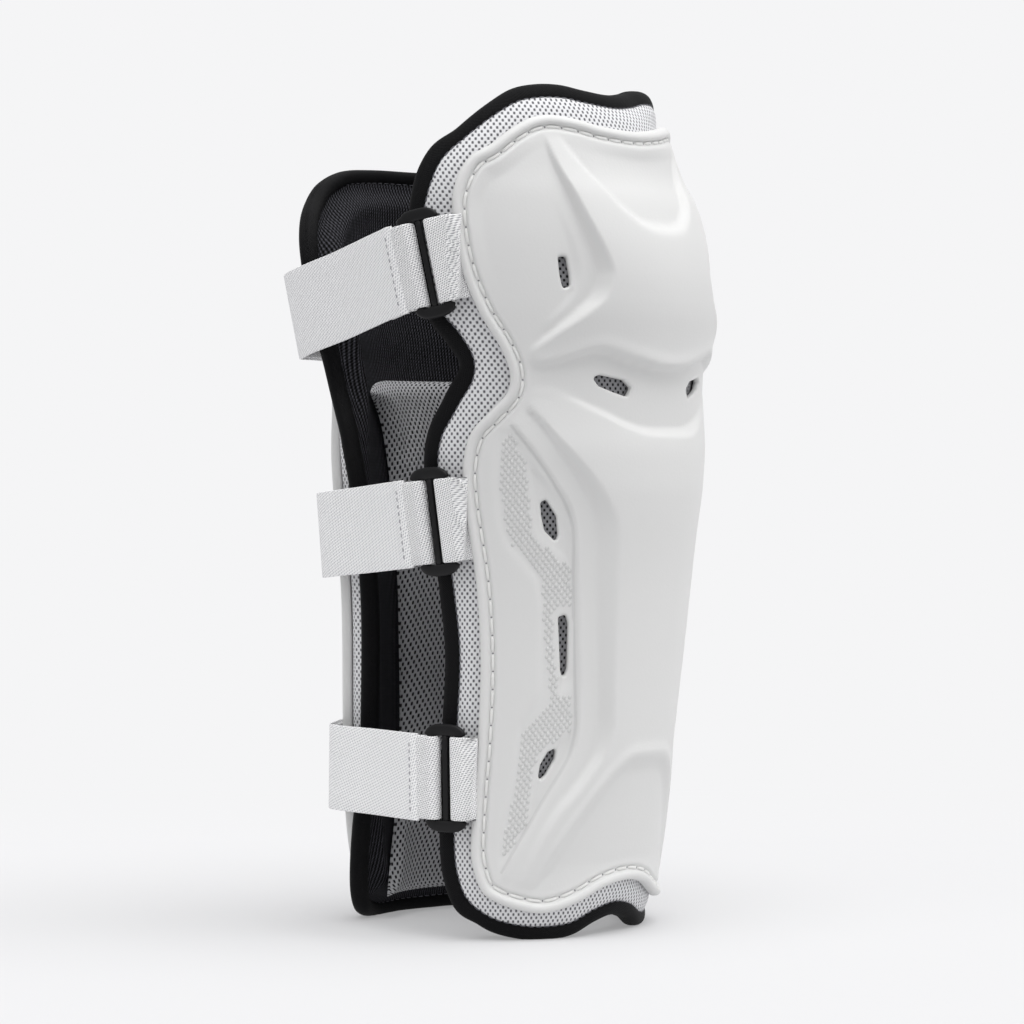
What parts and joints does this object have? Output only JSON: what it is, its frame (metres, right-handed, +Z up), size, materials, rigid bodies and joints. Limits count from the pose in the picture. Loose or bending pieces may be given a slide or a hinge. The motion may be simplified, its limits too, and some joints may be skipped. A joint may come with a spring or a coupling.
{
  "type": "elbow and forearm guard",
  "caption": "Upright padded arm guard: a moulded elbow and forearm shell on a bound mesh sleeve, open along one side, with webbing straps and rings across the gap.",
  "frame": {"origin": "middle of the guard's footprint, on the surface it stands on", "axes": "+Z up the forearm from the wrist to the elbow, -Y the middle of the moulded front, -X towards the side that is open"},
  "size_m": [0.1499, 0.1562, 0.3],
  "materials": {
    "moulded_shell": "moulded satin white with a fine grain",
    "spacer_mesh": "white spacer mesh",
    "black_lining": "black ribbed mesh",
    "grey_mesh": "grey spacer mesh over foam",
    "black_binding": "black knitted edge tape",
    "white_webbing": "white woven elastic",
    "white_tab": "white brushed tape",
    "black_nylon": "satin black nylon"
  },
  "bodies": {
    "root": {"shell": "moulded_shell", "pad": "spacer_mesh", "lining": "black_lining", "cushion": "grey_mesh", "binding": "black_binding", "anchor_upper": "white_webbing", "strap_upper": "white_webbing", "tab_upper": "white_tab", "ring_upper": "black_nylon", "anchor_middle": "white_webbing", "strap_middle": "white_webbing", "tab_middle": "white_tab", "ring_middle": "black_nylon", "anchor_lower": "white_webbing", "strap_lower": "white_webbing", "tab_lower": "white_tab", "ring_lower": "black_nylon"}
  },
  "joints": []
}
